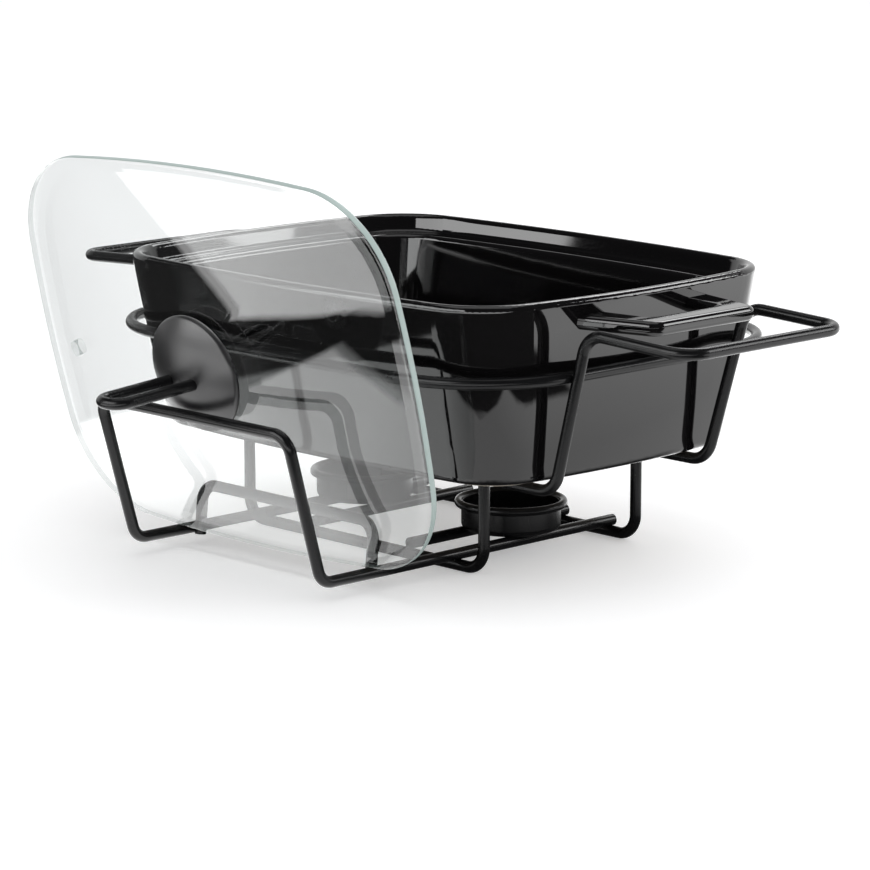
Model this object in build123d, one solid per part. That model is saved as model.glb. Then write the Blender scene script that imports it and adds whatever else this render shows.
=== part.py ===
"""Food warmer: a stoneware dish on a wire stand, with a loose glass lid parked in a wire rack.

Millimetres, Z up. X runs along the dish, the lid stands on the -Y side, the table is Z = 0.
Everything is drawn about the middle of the dish and moved to the object's own middle at the end.
"""
import os
from math import cos, radians, sin, tan

from build123d import *

# Wire stock and welds
wire_d = 5.0
wire_r = wire_d / 2
weld_bite = 0.2
rest_gap = 0.3

# Allowances for cuts and joins inside one piece
cut_past = 1.0
join_sink = 0.5
same_level = 0.01

# Leg wires: two legs and a floor run each, under the long sides of the dish
leg_x = 73.5
leg_y = 46.6
leg_bend = 9.5
leg_run_z = wire_r

# Cradle wire: run under the dish, leaning uprights, handle arms and outer bars
cradle_run_z = 41.9
cradle_foot_x = 114.2
cradle_top_x = 133.6
cradle_top_z = 110.5
cradle_arm_y = 48.3
cradle_bar_x = 187.1
cradle_bar_z = 108.0
cradle_bend = 11.0

# Ring wire around the dish, inside the uprights
ring_x = 123.4
ring_y = 98.6
ring_z = 91.3
ring_corner = 50.0

# Rack wire: two floor runs, bent up at the front into a gate that leans outwards
rack_x = 58.5
rack_run_z = leg_run_z + wire_d - weld_bite
rack_overhang = 1.5
rack_back_y = leg_y + rack_overhang
rack_front_y = -125.3
rack_bend = 7.5

# Stop wire: small U between the floor runs, behind the foot of the lid
stop_x = rack_x - wire_d + weld_bite
stop_foot_y = -93.0
stop_foot_z = 5.0
stop_top_y = -91.0
stop_top_z = 27.0
stop_bend = 8.0

# Tea-light cups and the short wires beside them
cup_wire_x = 30.1
cup_wire_end = 48.0
cup_x = 45.9
cup_y = -2.5
cup_r = 21.1
cup_lip = 3.4
cup_rim_r = cup_r + cup_lip
cup_height = 13.0
cup_sheet = 0.8
cup_bead_r = (cup_lip + weld_bite) / 2
cup_bend = 2.2
cup_bottom_z = rack_run_z + wire_r - weld_bite

# Dish: half length, half depth and corner radius of the bowed outlines
bow_long = 900.0
bow_end = 450.0
dish_bottom_z = 45.7
dish_bottom = (111.3, 80.6, 25.0)
dish_belly_z = 91.0
dish_belly = (119.0, 91.3, 31.0)
dish_rim_z = 122.5
dish_rim = (123.0, 97.5, 34.4)
dish_bottom_round = 4.0
rim_thickness = 5.2
rim_round = 2.4
recess_depth = 8.0
recess_draft = 1.7
ledge_z = dish_rim_z - recess_depth
ledge_width_x = 8.1
ledge_width_y = 10.1
ledge_round = 2.2
floor_z = 53.0
floor_inset_x = 11.0
floor_inset_y = 10.0
floor_round = 11.0
foot_z = cradle_run_z + wire_r + rest_gap
foot_inset = 6.5
foot_width = 7.0

# Looped ceramic handles at both ends of the dish
grip_top_z = 115.5
grip_thickness = 6.2
grip_root_x = 113.0
grip_root_y = 42.0
grip_bar_x = 155.0
grip_bar_y = 31.0
grip_corner = 6.5
grip_hole_root_x = 116.0
grip_hole_root_y = 24.5
grip_hole_x = 143.0
grip_hole_y = 21.0
grip_hole_corner = 4.5
grip_round = 2.5

# Glass lid, leaning against the gate: flat edge, domed middle with a flat cap under the handle
lid_lean = 13.9
lid_x = -4.2
lid_half_length = 115.5
lid_height = 170.0
lid_glass = 4.0
lid_corner = 45.0
lid_bow_long = 1000.0
lid_bow_end = 500.0
lid_edge_round = 1.2
lid_dome_foot = 0.94
lid_dome_cap = 0.15
lid_dome_steps = 4
lid_cap = 12.0
lid_foot_y = -102.8
lid_rest_drop = (rack_x + lid_x) ** 2 / (2 * lid_bow_long)
lid_foot_z = rack_run_z + wire_r + rest_gap - lid_rest_drop * cos(radians(lid_lean))
lid_middle_z = lid_foot_z + lid_height / 2 * cos(radians(lid_lean))
vent_inset = 21.8
vent_u = vent_inset - lid_half_length
vent_v = -6.0
vent_r = 3.5

# Lid handle on the cap: dome, wire loop let into the dome, screw from behind
gasket_r = 9.0
gasket_thickness = 0.8
dome_r = 25.5
dome_rim_round = 1.6
dome_rim = gasket_thickness + dome_rim_round
dome_top = 11.5
loop_half_width = 7.0
loop_root = 5.0
loop_face = 10.0
loop_end = 50.0
loop_drop = 1.0
loop_tilt = 9.0
loop_bend = 6.5
screw_r = 2.0
screw_gap = 0.3
screw_depth = 6.5
screw_head_r = 4.2
screw_head_height = 2.6
screw_head_round = 1.5
washer_r = 8.0
washer_thickness = 1.0

# Gate: its top bar passes in front of the dome, under the loop
gate_lean = 16.0
gate_below_handle = 20.2
gate_top_z = lid_middle_z - gate_below_handle
gate_top_y = rack_front_y - (gate_top_z - rack_run_z) * tan(radians(gate_lean))


def bent_wire(points, bend):
    """Round wire along a polyline with rounded corners."""
    path = FilletPolyline(*points, radius=bend)
    section = Plane(origin=path @ 0, z_dir=path % 0) * Circle(wire_r)
    return sweep(section, path=path)


def bowed_outline(half_x, half_y, corner, long_radius, end_radius):
    """Rounded rectangle with gently bowed sides, half sizes taken at the middle of each side."""
    corner_y = half_y - half_x ** 2 / (2 * long_radius)
    corner_x = half_x - corner_y ** 2 / (2 * end_radius)
    corner_y = half_y - corner_x ** 2 / (2 * long_radius)
    front = ThreePointArc((-corner_x, -corner_y), (0, -half_y), (corner_x, -corner_y))
    right = ThreePointArc((corner_x, -corner_y), (half_x, 0), (corner_x, corner_y))
    back = ThreePointArc((corner_x, corner_y), (0, half_y), (-corner_x, corner_y))
    left = ThreePointArc((-corner_x, corner_y), (-half_x, 0), (-corner_x, -corner_y))
    face = make_face([front, right, back, left])
    return fillet(face.vertices(), corner)


def dish_outline(size, inset_x=0.0, inset_y=0.0):
    """Outline of the dish, drawn in by an inset on every side."""
    half_x, half_y, corner = size
    return bowed_outline(half_x - inset_x, half_y - inset_y, corner - inset_x, bow_long, bow_end)


# Cradle wire
def make_cradle():
    right_half = [
        (0, -leg_y, cradle_run_z),
        (cradle_foot_x, -leg_y, cradle_run_z),
        (cradle_top_x, -cradle_arm_y, cradle_top_z),
        (cradle_bar_x, -cradle_arm_y, cradle_bar_z),
        (cradle_bar_x, cradle_arm_y, cradle_bar_z),
        (cradle_top_x, cradle_arm_y, cradle_top_z),
        (cradle_foot_x, leg_y, cradle_run_z),
        (0, leg_y, cradle_run_z),
    ]
    half = bent_wire(right_half, cradle_bend)
    return half + mirror(half, about=Plane.YZ)


# Ring wire
def make_ring():
    right_half = [
        (0, -ring_y, ring_z),
        (ring_x, -ring_y, ring_z),
        (ring_x, ring_y, ring_z),
        (0, ring_y, ring_z),
    ]
    half = bent_wire(right_half, ring_corner)
    return half + mirror(half, about=Plane.YZ)


# Leg wires
def make_leg_wire(y):
    leg_top_z = cradle_run_z - wire_r + weld_bite
    points = [(-leg_x, y, leg_top_z), (-leg_x, y, leg_run_z), (leg_x, y, leg_run_z), (leg_x, y, leg_top_z)]
    return bent_wire(points, leg_bend)


# Rack wire
def make_rack():
    points = [
        (rack_x, rack_back_y, rack_run_z),
        (rack_x, rack_front_y, rack_run_z),
        (rack_x, gate_top_y, gate_top_z),
        (-rack_x, gate_top_y, gate_top_z),
        (-rack_x, rack_front_y, rack_run_z),
        (-rack_x, rack_back_y, rack_run_z),
    ]
    return bent_wire(points, rack_bend)


# Stop wire
def make_stop():
    points = [
        (-stop_x, stop_foot_y, stop_foot_z),
        (-stop_x, stop_top_y, stop_top_z),
        (stop_x, stop_top_y, stop_top_z),
        (stop_x, stop_foot_y, stop_foot_z),
    ]
    return bent_wire(points, stop_bend)


# Cup wires
def make_cup_wire(x):
    straight = Cylinder(wire_r, 2 * cup_wire_end, rotation=(90, 0, 0))
    return Pos(x, 0, rack_run_z) * straight


# Tea-light cups: pressed sheet with a rolled rim
def make_cup(x):
    bead_centre_r = cup_rim_r - cup_bead_r
    bead_centre_z = cup_height - cup_bead_r
    middle_line = FilletPolyline((0, 0), (cup_r, 0), (cup_r, bead_centre_z), radius=cup_bend)
    strip = offset(middle_line, amount=cup_sheet / 2, side=Side.BOTH)
    section = make_face(strip.edges()) & Pos(cup_rim_r, 0) * Rectangle(2 * cup_rim_r, 2 * cup_rim_r)
    bead = Pos(bead_centre_r, bead_centre_z) * Circle(cup_bead_r)
    body = revolve(Plane.XZ * (section + bead), axis=Axis.Z)
    return Pos(x, cup_y, cup_bottom_z + cup_sheet / 2) * body


# Dish
def make_grip():
    outside = Polyline(
        (grip_root_x, -grip_root_y),
        (grip_bar_x, -grip_bar_y),
        (grip_bar_x, grip_bar_y),
        (grip_root_x, grip_root_y),
        close=True,
    )
    hole = Polyline(
        (grip_hole_root_x, -grip_hole_root_y),
        (grip_hole_x, -grip_hole_y),
        (grip_hole_x, grip_hole_y),
        (grip_hole_root_x, grip_hole_root_y),
        close=True,
    )
    outer_face = make_face(outside.edges())
    outer_face = fillet(outer_face.vertices().group_by(Axis.X)[-1], grip_corner)
    hole_face = make_face(hole.edges())
    hole_face = fillet(hole_face.vertices().group_by(Axis.X)[-1], grip_hole_corner)
    bar = extrude(outer_face - hole_face, amount=grip_thickness)
    rims = bar.edges().group_by(Axis.Z)[0] + bar.edges().group_by(Axis.Z)[-1]
    rims = rims.filter_by(lambda edge: edge.center().X > grip_hole_root_x + cut_past)
    bar = fillet(rims, grip_round)
    return Pos(0, 0, grip_top_z - grip_thickness) * bar


def make_dish():
    outside = loft([
        Pos(0, 0, dish_bottom_z) * dish_outline(dish_bottom),
        Pos(0, 0, dish_belly_z) * dish_outline(dish_belly),
        Pos(0, 0, dish_rim_z) * dish_outline(dish_rim),
    ])
    outside = fillet(outside.faces().sort_by(Axis.Z)[0].edges(), dish_bottom_round)
    foot_outline = dish_outline(dish_bottom, foot_inset, foot_inset)
    foot_hollow = dish_outline(dish_bottom, foot_inset + foot_width, foot_inset + foot_width)
    foot_height = dish_bottom_z - foot_z + join_sink
    foot = extrude(Pos(0, 0, foot_z) * (foot_outline - foot_hollow), amount=foot_height)
    grip = make_grip()
    body = outside + foot + grip + mirror(grip, about=Plane.YZ)
    recess_foot = rim_thickness + recess_draft
    recess_mouth = rim_thickness - recess_draft * cut_past / recess_depth
    recess = loft([
        Pos(0, 0, ledge_z) * dish_outline(dish_rim, recess_foot, recess_foot),
        Pos(0, 0, dish_rim_z + cut_past) * dish_outline(dish_rim, recess_mouth, recess_mouth),
    ])
    well_x = recess_foot + ledge_width_x
    well_y = recess_foot + ledge_width_y
    well = loft([
        Pos(0, 0, floor_z) * dish_outline(dish_bottom, floor_inset_x, floor_inset_y),
        Pos(0, 0, ledge_z) * dish_outline(dish_rim, well_x, well_y),
    ])
    well = fillet(well.faces().sort_by(Axis.Z)[0].edges(), floor_round)
    body = body - recess - well
    ledge_edges = body.edges().filter_by_position(Axis.Z, ledge_z - same_level, ledge_z + same_level)
    inner_edges = ledge_edges.filter_by(lambda edge: abs(edge.center().X) < dish_rim[0] - well_x + cut_past
                                        and abs(edge.center().Y) < dish_rim[1] - well_y + cut_past)
    body = fillet(inner_edges, ledge_round)
    rim_edges = body.edges().filter_by_position(Axis.Z, dish_rim_z - same_level, dish_rim_z + same_level)
    return fillet(rim_edges, rim_round)


# Lid and its handle, drawn in the plane of the glass: x along it, y up it, z outwards
lean = radians(lid_lean)
lid_plane = Plane(
    origin=(lid_x, lid_foot_y, lid_foot_z),
    x_dir=(1, 0, 0),
    z_dir=(0, -cos(lean), -sin(lean)),
)
lid_middle = lid_plane * Pos(0, lid_height / 2, 0)
cap_place = lid_middle * Pos(0, 0, lid_cap)


def lid_outline(share):
    """Outline of the lid about its middle, drawn smaller for the levels of the dome."""
    return bowed_outline(lid_half_length * share, lid_height / 2 * share, lid_corner * share,
                         lid_bow_long * share, lid_bow_end * share)


def lid_dome():
    """Solid under the bulge of the glass, from the flat edge up to the cap."""
    levels = []
    for step in range(lid_dome_steps + 1):
        share = lid_dome_foot + (lid_dome_cap - lid_dome_foot) * step / lid_dome_steps
        rise = lid_cap * (lid_dome_foot ** 2 - share ** 2) / (lid_dome_foot ** 2 - lid_dome_cap ** 2)
        levels.append(Pos(0, 0, rise) * lid_outline(share))
    return loft(levels)


def make_lid_glass():
    edge = extrude(lid_outline(1.0), amount=-lid_glass)
    edge = fillet(edge.edges(), lid_edge_round)
    bulge = lid_dome()
    hole_length = 2 * (lid_cap + lid_glass)
    vent = Pos(vent_u, vent_v, 0) * Cylinder(vent_r, hole_length)
    screw_hole = Cylinder(screw_r + screw_gap, hole_length)
    return lid_middle * (edge + bulge - Pos(0, 0, -lid_glass) * bulge - vent - screw_hole)


def make_loop():
    slope = tan(radians(loop_tilt))
    root_v = -loop_drop - (loop_face - loop_root) * slope
    end_v = -loop_drop + (loop_end - loop_face) * slope
    points = [
        (-loop_half_width, root_v, loop_root),
        (-loop_half_width, end_v, loop_end),
        (loop_half_width, end_v, loop_end),
        (loop_half_width, root_v, loop_root),
    ]
    return bent_wire(points, loop_bend)


def make_dome(loop):
    rim_low = (dome_r - dome_rim_round / 2, gasket_thickness)
    rim_high = (dome_r - dome_rim_round / 2, dome_rim + dome_rim_round)
    section = make_face([
        Line((0, gasket_thickness), rim_low),
        ThreePointArc(rim_low, (dome_r, dome_rim), rim_high),
        TangentArc((0, dome_top), rim_high, tangent=(1, 0)),
        Line((0, dome_top), (0, gasket_thickness)),
    ])
    dome = revolve(Plane.YZ * section, axis=Axis.Z)
    thread = Cylinder(screw_r, screw_depth, align=(Align.CENTER, Align.CENTER, Align.MIN))
    return dome - thread - loop


def make_gasket():
    ring = Circle(gasket_r) - Circle(screw_r + screw_gap)
    return extrude(ring, amount=gasket_thickness)


def make_washer():
    ring = Circle(washer_r) - Circle(screw_r + screw_gap)
    return Pos(0, 0, -lid_glass - washer_thickness) * extrude(ring, amount=washer_thickness)


def make_screw():
    head_z = -lid_glass - washer_thickness
    shank = Cylinder(screw_r, screw_depth - head_z, align=(Align.CENTER, Align.CENTER, Align.MIN))
    head = Cylinder(screw_head_r, screw_head_height, align=(Align.CENTER, Align.CENTER, Align.MAX))
    head = fillet(head.edges().sort_by(Axis.Z)[0], screw_head_round)
    return Pos(0, 0, head_z) * (shank + head)


loop_local = make_loop()
parts = {
    "cradle_wire": make_cradle(),
    "ring_wire": make_ring(),
    "leg_wire_front": make_leg_wire(-leg_y),
    "leg_wire_back": make_leg_wire(leg_y),
    "rack_wire": make_rack(),
    "stop_wire": make_stop(),
    "cup_wire_left": make_cup_wire(-cup_wire_x),
    "cup_wire_right": make_cup_wire(cup_wire_x),
    "cup_left": make_cup(-cup_x),
    "cup_right": make_cup(cup_x),
    "dish": make_dish(),
    "lid_glass": make_lid_glass(),
    "handle_dome": cap_place * make_dome(loop_local),
    "handle_loop": cap_place * loop_local,
    "handle_gasket": cap_place * make_gasket(),
    "handle_washer": cap_place * make_washer(),
    "handle_screw": cap_place * make_screw(),
}

# The origin is the middle of the whole object's underside
whole = Compound(list(parts.values())).bounding_box()
to_origin = Pos(-whole.center().X, -whole.center().Y, -whole.min.Z)

os.makedirs("parts", exist_ok=True)
for node, shape in parts.items():
    export_step(to_origin * shape, f"parts/{node}.step")
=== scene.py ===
import math

import bpy
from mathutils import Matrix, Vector


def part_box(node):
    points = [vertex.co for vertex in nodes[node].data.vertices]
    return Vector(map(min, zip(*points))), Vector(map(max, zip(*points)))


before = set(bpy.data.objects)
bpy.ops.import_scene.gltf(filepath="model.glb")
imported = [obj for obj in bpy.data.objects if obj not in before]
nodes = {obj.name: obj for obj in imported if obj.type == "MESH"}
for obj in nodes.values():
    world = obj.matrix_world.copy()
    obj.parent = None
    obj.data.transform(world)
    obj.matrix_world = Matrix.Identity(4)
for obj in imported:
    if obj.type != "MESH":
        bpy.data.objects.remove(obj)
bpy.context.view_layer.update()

# Places on the object, in metres
dish_low, dish_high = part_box("dish")
dish_y = (dish_low.y + dish_high.y) / 2
foot_height = 0.0012
foot_line = dish_low.z + foot_height
foot_blur = 0.0003
lid_low, lid_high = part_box("lid_glass")
lid_middle = (lid_low + lid_high) / 2
lid_lean = math.radians(13.9)
lid_axis = (0, math.cos(lid_lean), math.sin(lid_lean))
vent_inset = 0.0218
vent_drop = 0.006
vent_place = (lid_low.x + vent_inset, lid_middle.y, lid_middle.z - vent_drop)
vent_reach = 0.012
vent_blur = 0.001

# Noise: the range that it mostly stays in, and how many finer layers it has
noise_low = 0.3
noise_high = 0.7
plain_layers = 2.0
rich_layers = 3.0

# Pebbled black finishes, with patches of uneven gloss
coat_index = 1.5
coat_patches = 90.0
coat_bump = 0.35

# Glaze and the bare clay under it
glaze_colour = (0.0045, 0.0042, 0.0045, 1)
glaze_roughness = 0.045
glaze_index = 1.52
glaze_wave = 38.0
glaze_wave_bump = 0.05
glaze_wave_depth = 0.0006
clay_colour = (0.52, 0.47, 0.40, 1)
clay_roughness = 0.75

# Glass of the lid. Faces that turn far from its axis are ground, and the last two say how clear
# these stay when seen from inside the glass and at the vent.
glass_index = 1.5
glass_tint = (0.935, 0.945, 0.943, 1)
ground_colour = (0.42, 0.51, 0.485, 1)
ground_roughness = 0.35
ground_grain = 700.0
ground_bump = 0.15
ground_depth = 0.0001
edge_facing = 0.5
face_facing = 0.6
clear_from_inside = 0.8
clear_at_vent = 0.72

# Steel
steel_colour = (0.62, 0.62, 0.63, 1)
steel_grain = 900.0
steel_roughness = (0.22, 0.38)

# Floor as the camera sees it
floor_size = 30.0
floor_colour = (0.83, 0.83, 0.83, 1)
floor_roughness = 0.6
floor_shine = 0.1
floor_glow = 0.36
floor_grain = 400.0
floor_bump = 0.05
floor_depth = 0.0002

# Floor as the glossy surfaces mirror it, a glow of painted light with a painted shadow under the dish.
# An edge is a weight for X, a weight for Y, the weighted sum at which it lies, from the dish's middle,
# and its blur where that isn't edge_blur.
edge_blur = 0.004
sheet_near_left = (0.851, 1.0, -0.311)
sheet_near_right = (-0.605, 1.0, -0.268)
sheet_right = (-1, 0, -0.262)
sheet_back = (0, 1, 0.088)
# The shade edges bound a painted shadow on the mirrored floor, under the dish
shade_left = (1, 0, -0.15, 0.02)
shade_right = (-1, 0, -0.13, 0.02)
shade_front = (0, 1, -0.095, 0.015)
shade_back = (0, -1, -0.09, 0.02)
front_edge = (0.0, -1.0, 0.325)
front_left_edge = (0.76, -1.0, 0.173)

# Painted light of the mirrored floor; the sheet's falls off along X and then rises by one
sheet_left_light = 2.3
sheet_right_light = 1.4
fall_off_x = (0.02, 0.11)
rise_x = (0.20, 0.36)
dark_floor_light = 0.06
front_floor_light = 4.0

# World: colours, the side that the soft light comes from, and the backdrop's direction and edges
white = (1, 1, 1, 1)
dim_colour = (0.04, 0.04, 0.042, 1)
soft_colour = (0.80, 0.80, 0.81, 1)
bright_side = (0.699, 0.715, 0)
dim_side_light = 0.2
bright_side_light = 1.8
backdrop_side = (-0.715, 0.699, 0)
backdrop_ends = (0.35, 0.45)
backdrop_top = (0.50, 0.56)


def new_material(name):
    made = bpy.data.materials.new(name)
    made.use_nodes = True
    tree = made.node_tree
    tree.nodes.clear()
    output = tree.nodes.new("ShaderNodeOutputMaterial")
    shader = tree.nodes.new("ShaderNodeBsdfPrincipled")
    tree.links.new(shader.outputs["BSDF"], output.inputs["Surface"])
    return made, tree, shader, output


def object_noise(tree, scale, layers=plain_layers):
    place = tree.nodes.new("ShaderNodeTexCoord")
    noise = tree.nodes.new("ShaderNodeTexNoise")
    noise.inputs["Scale"].default_value = scale
    noise.inputs["Detail"].default_value = layers
    tree.links.new(place.outputs["Object"], noise.inputs["Vector"])
    return noise.outputs["Fac"]


def add_bump(tree, shader, noise, strength, distance):
    bump = tree.nodes.new("ShaderNodeBump")
    bump.inputs["Strength"].default_value = strength
    bump.inputs["Distance"].default_value = distance
    tree.links.new(noise, bump.inputs["Height"])
    tree.links.new(bump.outputs["Normal"], shader.inputs["Normal"])


def map_range(tree, source, from_low=0.0, from_high=1.0, to_low=0.0, to_high=1.0):
    """Carries one range of values over to another, held at both ends."""
    spread = tree.nodes.new("ShaderNodeMapRange")
    spread.inputs["From Min"].default_value = from_low
    spread.inputs["From Max"].default_value = from_high
    spread.inputs["To Min"].default_value = to_low
    spread.inputs["To Max"].default_value = to_high
    tree.links.new(source, spread.inputs["Value"])
    return spread.outputs["Result"]


def math_node(tree, operation, *sources, clamp=False):
    """One sum on up to three node outputs."""
    node = tree.nodes.new("ShaderNodeMath")
    node.operation = operation
    node.use_clamp = clamp
    for source, socket in zip(sources, node.inputs):
        tree.links.new(source, socket)
    return node.outputs["Value"]


def vector_node(tree, operation, source, other):
    """Compares a vector output with a fixed vector."""
    node = tree.nodes.new("ShaderNodeVectorMath")
    node.operation = operation
    node.inputs[1].default_value = other
    tree.links.new(source, node.inputs[0])
    return node.outputs["Value"]


def mix_shaders(tree, share, first, second):
    """Blends two shaders by the second one's share."""
    mix = tree.nodes.new("ShaderNodeMixShader")
    tree.links.new(share, mix.inputs["Fac"])
    tree.links.new(first, mix.inputs[1])
    tree.links.new(second, mix.inputs[2])
    return mix.outputs["Shader"]


def uneven_roughness(tree, shader, noise, low, high):
    rough = map_range(tree, noise, noise_low, noise_high, low, high)
    tree.links.new(rough, shader.inputs["Roughness"])


def pebbled_finish(name, colour, shine, roughness, grain, depth):
    """Fine pebbled skin with slightly uneven gloss, for coated steel, moulded plastic and rubber."""
    made, tree, shader, _ = new_material(name)
    shader.inputs["Base Color"].default_value = (*colour, 1)
    shader.inputs["IOR"].default_value = coat_index
    shader.inputs["Specular IOR Level"].default_value = shine
    uneven_roughness(tree, shader, object_noise(tree, coat_patches, layers=rich_layers), *roughness)
    add_bump(tree, shader, object_noise(tree, grain), coat_bump, depth)
    return made


def glazed_stoneware(name):
    """Black glaze over the body, with the bare clay showing on the foot."""
    made, tree, shader, _ = new_material(name)
    place = tree.nodes.new("ShaderNodeTexCoord")
    axes = tree.nodes.new("ShaderNodeSeparateXYZ")
    tree.links.new(place.outputs["Object"], axes.inputs["Vector"])
    glazed = map_range(tree, axes.outputs["Z"], foot_line - foot_blur, foot_line + foot_blur)
    colour = tree.nodes.new("ShaderNodeMix")
    colour.data_type = "RGBA"
    colour.inputs["A"].default_value = clay_colour
    colour.inputs["B"].default_value = glaze_colour
    tree.links.new(glazed, colour.inputs["Factor"])
    tree.links.new(colour.outputs["Result"], shader.inputs["Base Color"])
    rough = map_range(tree, glazed, to_low=clay_roughness, to_high=glaze_roughness)
    tree.links.new(rough, shader.inputs["Roughness"])
    shader.inputs["IOR"].default_value = glaze_index
    add_bump(tree, shader, object_noise(tree, glaze_wave), glaze_wave_bump, glaze_wave_depth)
    return made


def clear_glass(name):
    """Thin sheet that doesn't bend the view; its ground edge is pale green, and fainter from inside."""
    made, tree, ground, output = new_material(name)
    ground.inputs["Base Color"].default_value = ground_colour
    ground.inputs["Roughness"].default_value = ground_roughness
    add_bump(tree, ground, object_noise(tree, ground_grain), ground_bump, ground_depth)
    surface = tree.nodes.new("ShaderNodeNewGeometry")
    backface = surface.outputs["Backfacing"]

    # The sheet: clear, with a mirror that grows towards grazing angles
    shine = tree.nodes.new("ShaderNodeFresnel")
    index = map_range(tree, backface, to_low=glass_index, to_high=1 / glass_index)
    tree.links.new(index, shine.inputs["IOR"])
    through = tree.nodes.new("ShaderNodeBsdfTransparent")
    through.inputs["Color"].default_value = glass_tint
    mirror = tree.nodes.new("ShaderNodeBsdfAnisotropic")
    mirror.inputs["Color"].default_value = white
    mirror.inputs["Roughness"].default_value = 0.0
    sheet = mix_shaders(tree, shine.outputs["Fac"], through.outputs["BSDF"], mirror.outputs["BSDF"])

    # The ground edge: faces that turn away from the lid's axis, paler around the vent
    facing = vector_node(tree, "DOT_PRODUCT", surface.outputs["True Normal"], lid_axis)
    edge = map_range(tree, math_node(tree, "ABSOLUTE", facing), edge_facing, face_facing)
    inside = map_range(tree, backface, to_high=clear_from_inside)
    tree.links.new(inside, edge.node.inputs["To Min"])
    place = tree.nodes.new("ShaderNodeTexCoord")
    apart = vector_node(tree, "DISTANCE", place.outputs["Object"], vent_place)
    vent = map_range(tree, apart, vent_reach, vent_reach + vent_blur, clear_at_vent, 0.0)
    clear = math_node(tree, "MAXIMUM", edge, vent)
    tree.links.new(mix_shaders(tree, clear, ground.outputs["BSDF"], sheet), output.inputs["Surface"])
    return made


def bright_steel(name):
    made, tree, shader, _ = new_material(name)
    shader.inputs["Base Color"].default_value = steel_colour
    shader.inputs["Metallic"].default_value = 1.0
    uneven_roughness(tree, shader, object_noise(tree, steel_grain), *steel_roughness)
    return made


satin_black = (0.006, 0.006, 0.0065)
wire_black = pebbled_finish(
    "wire_black", satin_black, shine=0.22, roughness=(0.20, 0.28), grain=2600.0, depth=0.00003)
cup_black = pebbled_finish(
    "cup_black", satin_black, shine=0.22, roughness=(0.20, 0.28), grain=1800.0, depth=0.00003)
dome_black = pebbled_finish(
    "dome_black", (0.010, 0.010, 0.011), shine=0.6, roughness=(0.33, 0.40), grain=1500.0, depth=0.00006)
gasket_black = pebbled_finish(
    "gasket_rubber", (0.02, 0.02, 0.02), shine=0.3, roughness=(0.7, 0.8), grain=1200.0, depth=0.0001)
glaze_black = glazed_stoneware("glaze_black")
lid_clear = clear_glass("clear_glass")
steel = bright_steel("steel")

# Every other node is wire
looks = {
    "dish": glaze_black,
    "lid_glass": lid_clear,
    "handle_dome": dome_black,
    "handle_gasket": gasket_black,
    "handle_washer": steel,
    "handle_screw": steel,
    "cup_left": cup_black,
    "cup_right": cup_black,
}
for node, shape in nodes.items():
    shape.data.materials.clear()
    shape.data.materials.append(looks.get(node, wire_black))

# Floor: white paper to the camera and through the glass
bpy.ops.mesh.primitive_plane_add(size=floor_size, location=(0, dish_y, 0))
floor = bpy.context.object
floor.name = "floor"
paper, tree, shader, output = new_material("pale_floor")
shader.inputs["Base Color"].default_value = floor_colour
shader.inputs["Roughness"].default_value = floor_roughness
shader.inputs["Specular IOR Level"].default_value = floor_shine
shader.inputs["Emission Color"].default_value = white
add_bump(tree, shader, object_noise(tree, floor_grain, layers=rich_layers), floor_bump, floor_depth)
path = tree.nodes.new("ShaderNodeLightPath")
seen = math_node(tree, "MAXIMUM", path.outputs["Is Camera Ray"], path.outputs["Is Transmission Ray"])
tree.links.new(map_range(tree, seen, to_high=floor_glow), shader.inputs["Emission Strength"])

# What the glossy surfaces mirror of it, all painted light: a sheet of painted light under the object,
# with a painted shadow under the dish, and brighter painted light on the floor in front
place = tree.nodes.new("ShaderNodeTexCoord")


def side_of(line_x, line_y, start, blur=edge_blur):
    """One beyond a straight edge on the floor, zero before it."""
    along = vector_node(tree, "DOT_PRODUCT", place.outputs["Object"], (line_x, line_y, 0))
    return map_range(tree, along, start - blur, start + blur)


near_half = math_node(tree, "MINIMUM", side_of(*sheet_near_left), side_of(*sheet_near_right))
far_half = math_node(tree, "MAXIMUM", side_of(*sheet_right), side_of(*sheet_back))
sheet = math_node(tree, "MINIMUM", near_half, far_half)
# Painted shadow: the sheet's painted light is taken away in a rectangle under the dish
shaded_x = math_node(tree, "MINIMUM", side_of(*shade_left), side_of(*shade_right))
shaded_y = math_node(tree, "MINIMUM", side_of(*shade_front), side_of(*shade_back))
shaded = math_node(tree, "MINIMUM", shaded_x, shaded_y)
sheet = math_node(tree, "SUBTRACT", sheet, shaded, clamp=True)
front = math_node(tree, "MINIMUM", side_of(*front_edge), side_of(*front_left_edge))
across = tree.nodes.new("ShaderNodeSeparateXYZ")
tree.links.new(place.outputs["Object"], across.inputs["Vector"])
fall_off = map_range(tree, across.outputs["X"], *fall_off_x, sheet_left_light, sheet_right_light)
rise = map_range(tree, across.outputs["X"], *rise_x)
graded = math_node(tree, "ADD", fall_off, rise)
front_light = map_range(tree, front, to_low=dark_floor_light, to_high=front_floor_light)
# The floor glows with this painted light where reflected rays see it
lit = tree.nodes.new("ShaderNodeEmission")
tree.links.new(math_node(tree, "MULTIPLY_ADD", sheet, graded, front_light), lit.inputs["Strength"])
either = mix_shaders(tree, path.outputs["Glossy Depth"], shader.outputs["BSDF"], lit.outputs["Emission"])
tree.links.new(either, output.inputs["Surface"])
floor.data.materials.append(paper)

# World: white to the camera and through the glass, a dim studio with a backdrop in the reflections
world = bpy.data.worlds.new("studio")
bpy.context.scene.world = world
world.use_nodes = True
tree = world.node_tree
tree.nodes.clear()
output = tree.nodes.new("ShaderNodeOutputWorld")


def background(colour):
    made = tree.nodes.new("ShaderNodeBackground")
    made.inputs["Color"].default_value = colour
    return made


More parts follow.
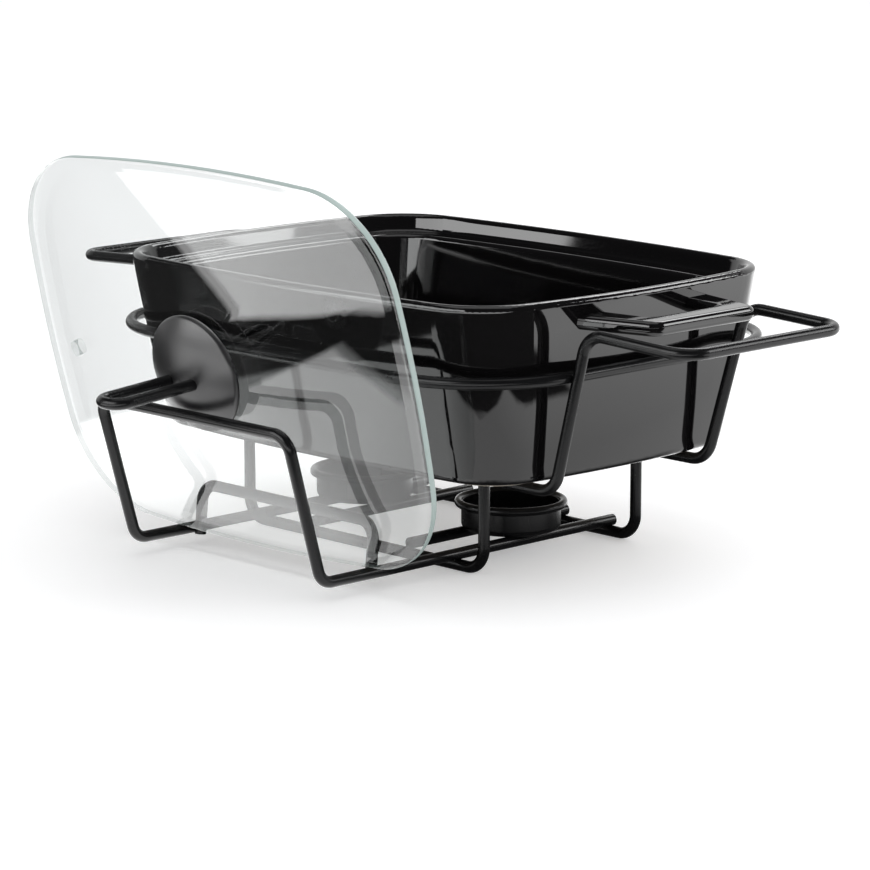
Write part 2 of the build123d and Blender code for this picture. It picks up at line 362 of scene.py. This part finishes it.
bright = background(white).outputs["Background"]
dim = background(dim_colour).outputs["Background"]
soft = background(soft_colour)
path = tree.nodes.new("ShaderNodeLightPath")
seen = math_node(tree, "MAXIMUM", path.outputs["Is Camera Ray"], path.outputs["Is Transmission Ray"])
towards = tree.nodes.new("ShaderNodeTexCoord").outputs["Generated"]

# Soft light, stronger from one side
from_side = vector_node(tree, "DOT_PRODUCT", towards, bright_side)
level = map_range(tree, from_side, -1.0, 1.0, dim_side_light, bright_side_light)
tree.links.new(level, soft.inputs["Strength"])

# Backdrop, up to a level edge
behind = vector_node(tree, "DOT_PRODUCT", towards, backdrop_side)
sides = map_range(tree, behind, *backdrop_ends)
height = tree.nodes.new("ShaderNodeSeparateXYZ")
tree.links.new(towards, height.inputs["Vector"])
top = map_range(tree, height.outputs["Z"], *backdrop_top, 1.0, 0.0)
backdrop = math_node(tree, "MINIMUM", sides, top)

mirrored = mix_shaders(tree, backdrop, dim, bright)
direct = mix_shaders(tree, seen, soft.outputs["Background"], bright)
either = mix_shaders(tree, path.outputs["Glossy Depth"], direct, mirrored)
tree.links.new(either, output.inputs["Surface"])


def softbox(name, place, aim, width, height, power, lights_floor=False):
    """Area light; one that doesn't light the floor is only mirrored in the glossy surfaces."""
    light = bpy.data.lights.new(name, "AREA")
    light.shape = "RECTANGLE"
    light.size = width
    light.size_y = height
    light.energy = power
    box = bpy.data.objects.new(name, light)
    bpy.context.scene.collection.objects.link(box)
    box.location = place
    box.rotation_euler = (Vector(aim) - Vector(place)).to_track_quat("-Z", "Y").to_euler()
    box.visible_diffuse = lights_floor


centre = (0, dish_y, 0.08)
front_box_z = 0.84
softbox("room_box", (-0.1, dish_y + 0.1, 1.5), centre,
        width=1.4, height=1.4, power=6.0, lights_floor=True)
softbox("back_box", (-0.43, dish_y + 1.12, 1.15), centre,
        width=0.7, height=0.4, power=5.0)
softbox("front_box", (-0.335, dish_y - 1.595, front_box_z), (0, dish_y, front_box_z),
        width=2.09, height=1.0, power=40.0)
softbox("back_right_box", (1.08, dish_y + 1.34, 0.73), centre,
        width=0.7, height=0.65, power=11.0)

# Camera
azimuth = math.radians(45.68)
elevation = math.radians(11.3)
look_at = Vector((0, dish_y, 0.06))
distance = 1.67759
shift_right = -0.00245
shift_up = -0.0164
back = Vector((
    math.sin(azimuth) * math.cos(elevation),
    -math.cos(azimuth) * math.cos(elevation),
    math.sin(elevation),
))
right = Vector((math.cos(azimuth), math.sin(azimuth), 0))
up = back.cross(right)
lens = bpy.data.cameras.new("camera")
lens.sensor_width = 36.0
lens.lens = 158.76
lens.clip_start = 0.05
lens.clip_end = 60.0
camera = bpy.data.objects.new("camera", lens)
bpy.context.scene.collection.objects.link(camera)
camera.location = look_at + shift_right * right + shift_up * up + distance * back
camera.rotation_euler = (-back).to_track_quat("-Z", "Y").to_euler()
bpy.context.scene.camera = camera
bpy.context.scene.view_settings.view_transform = "Standard"
